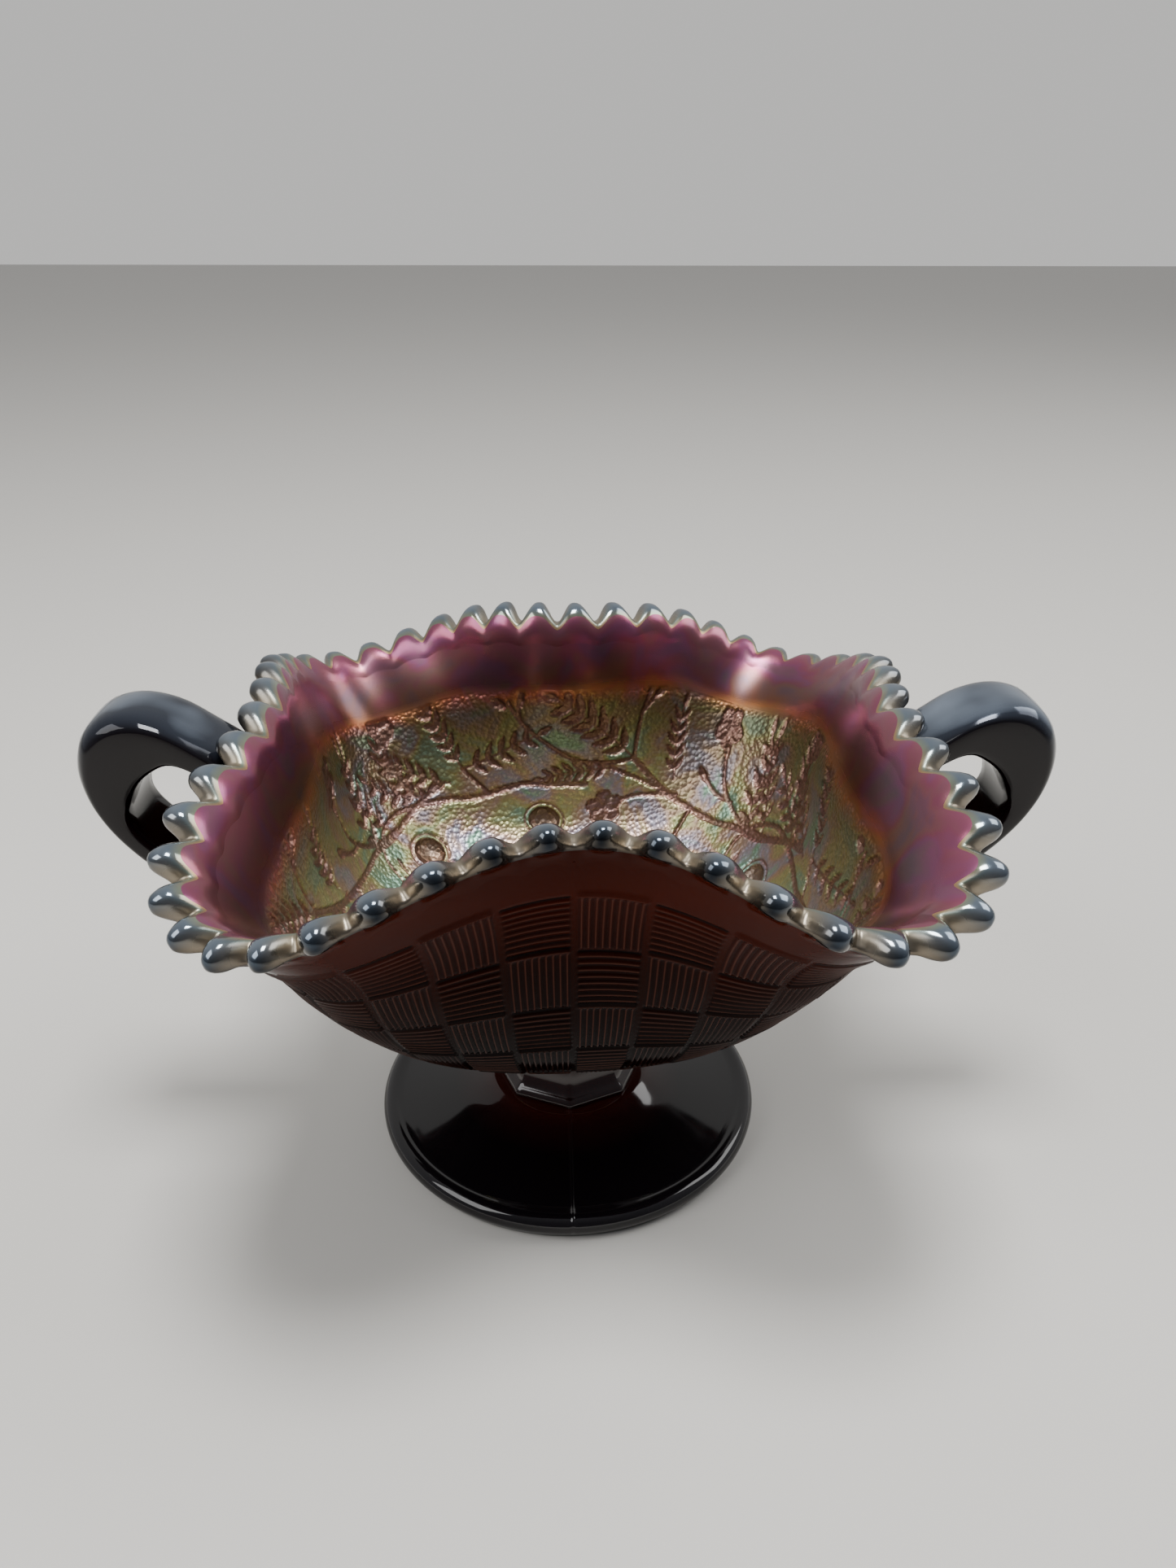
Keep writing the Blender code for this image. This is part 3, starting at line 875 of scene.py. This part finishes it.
def make_handle(name, node, hand):
    """One loop; hand is 1 on the right and -1 on the left."""
    outer_line = evenly(CROWN, HANDLE_STATIONS)
    inner_line = evenly(HOLE, HANDLE_STATIONS)
    rings = []
    for top, under in zip(outer_line, inner_line):
        deep = np.linalg.norm(under - top)
        way = (under - top) / deep
        half = [*OUTER_HALF, *[(y, deep - d) for y, d in INNER_HALF]]
        ring = half + [(-y, d) for y, d in half[-2:0:-1]]
        rings.append([(top[0] + way[0] * d, y, top[1] + way[1] * d) for y, d in ring])
    rings = np.array(rings)
    rings[..., 0] = hand * rings[..., 0] + HANDLE_SHIFT
    film_and_painted_light = np.array(HALF_FILM_AND_HIGHLIGHT + HALF_FILM_AND_HIGHLIGHT[-2:0:-1])[None, :]
    piece = glass_mesh(name, rings, [handle_glass], values={"film_and_painted_light": film_and_painted_light})
    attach(piece, "root")
    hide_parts(node)


# Amethyst glass with a blue-silver lustre over the crown, partly the film and partly a painted highlight
# that grows toward the top of the loop, and bare near-black glass with a trace of red at the sides and
# inside the loop.
handle_glass, tree, shader = new_material("amethyst_with_silver_crown")
place = add(tree, "TexCoord").outputs["Object"]
crown_film_and_highlight = add(tree, "Attribute", attribute_name="film_and_painted_light").outputs["Fac"]
cloud = add(tree, "TexNoise", {"Vector": place, "Scale": 60.0, "Detail": 2.0}).outputs["Fac"]
height = add(tree, "SeparateXYZ", {0: place}).outputs["Z"]
# Painted highlight: the crown's silver-blue grows toward the top of the loop.
top_highlight = add(tree, "MapRange", {"Value": height, "From Min": 0.076, "From Max": 0.095}).outputs["Result"]
patchy = add(
    tree,
    "MapRange",
    {"Value": cloud, "From Min": 0.3, "From Max": 0.7, "To Min": 0.6, "To Max": 1.0},
)
amount = add(tree, "Math", {0: crown_film_and_highlight, 1: top_highlight}, operation="MULTIPLY").outputs[0]
amount = add(tree, "Math", {0: amount, 1: patchy.outputs["Result"]}, operation="MULTIPLY").outputs[0]
tint = add(
    tree,
    "ValToRGB",
    {"Fac": amount},
    stops=((0.0, "#0b0406"), (0.25, "#131217"), (0.6, "#30353f"), (1.0, "#8f9bab")),
)
tree.links.new(tint.outputs["Color"], shader.inputs["Base Color"])
shader.inputs["Specular IOR Level"].default_value = 0.3
mirror = add(tree, "MapRange", {"Value": amount, "From Min": 0.1, "From Max": 0.8, "To Max": 0.75})
tree.links.new(mirror.outputs["Result"], shader.inputs["Metallic"])
smear = add(
    tree,
    "MapRange",
    {"Value": cloud, "From Min": 0.3, "From Max": 0.7, "To Min": 0.06, "To Max": 0.14},
)
tree.links.new(smear.outputs["Result"], shader.inputs["Roughness"])

make_handle("loop_handle_right", "handle_right", 1)
make_handle("loop_handle_left", "handle_left", -1)

# ---- Studio ---------------------------------------------------------------------------------------
# A plain pale floor, a soft pale surround and three soft boxes, and a camera that looks down on the
# bowl from the front.

FLOOR_HALF = 2.5
mesh = bpy.data.meshes.new("floor")
corners = [(x * FLOOR_HALF, y * FLOOR_HALF, 0) for x, y in ((-1, -1), (1, -1), (1, 1), (-1, 1))]
mesh.from_pydata(corners, [], [(0, 1, 2, 3)])
floor = bpy.data.objects.new("floor", mesh)
bpy.context.scene.collection.objects.link(floor)
floor_paint, tree, shader = new_material("matt_pale_floor")
shader.inputs["Base Color"].default_value = rgb("#d9d6d0")
shader.inputs["Roughness"].default_value = 0.75
mesh.materials.append(floor_paint)

world = bpy.data.worlds.new("studio")
world.use_nodes = True
back = world.node_tree.nodes["Background"]
# The surround is pale behind the bowl and dimmer on the near side.
way = add(world.node_tree, "TexCoord").outputs["Generated"]
parts = add(world.node_tree, "SeparateXYZ", {0: way})
depth = add(
    world.node_tree, "MapRange", {"Value": parts.outputs["Y"], "From Min": -0.9, "From Max": 0.6}
)
surround = add(
    world.node_tree,
    "ValToRGB",
    {"Fac": depth.outputs["Result"]},
    stops=((0.0, "#6b6c70"), (0.45, "#a9abb0"), (1.0, "#e9e8e6")),
)
world.node_tree.links.new(surround.outputs["Color"], back.inputs["Color"])
back.inputs["Strength"].default_value = 0.76
bpy.context.scene.world = world

LIT_POINT = (0.0, 0.0, 0.06)
# Each box's name, place and side in metres, and power in watts.
SOFT_BOXES = (
    ("overhead", (0.0, -0.05, 0.75), 0.22, 5.0),
    ("left", (-0.75, -0.35, 0.75), 0.6, 5.0),
    ("right", (0.8, 0.2, 0.8), 0.6, 5.0),
)
for name, spot, size, power in SOFT_BOXES:
    light = bpy.data.lights.new(name, "AREA")
    light.shape = "RECTANGLE"
    light.size = size
    light.size_y = size
    light.energy = power
    lamp = bpy.data.objects.new(name, light)
    lamp.location = spot
    aim = Vector(spot) - Vector(LIT_POINT)
    lamp.rotation_euler = aim.to_track_quat("Z", "Y").to_euler()
    bpy.context.scene.collection.objects.link(lamp)

CAMERA_AT = (-4.06, -203.28, 186.34)
LOOK_DOWN = math.radians(27.70)
LOOK_RIGHT = math.radians(2.30)
CAMERA_ROLL = math.radians(0.26)
camera_data = bpy.data.cameras.new("camera")
camera_data.sensor_fit = "HORIZONTAL"
camera_data.sensor_width = 36.0
camera_data.lens = 36.07
camera_data.clip_start = 0.01
camera = bpy.data.objects.new("camera", camera_data)
bpy.context.scene.collection.objects.link(camera)
camera.matrix_world = (
    Matrix.Translation([c * MM for c in CAMERA_AT])
    @ Matrix.Rotation(-LOOK_RIGHT, 4, "Z")
    @ Matrix.Rotation(math.pi / 2 - LOOK_DOWN, 4, "X")
    @ Matrix.Rotation(CAMERA_ROLL, 4, "Z")
)
bpy.context.scene.camera = camera
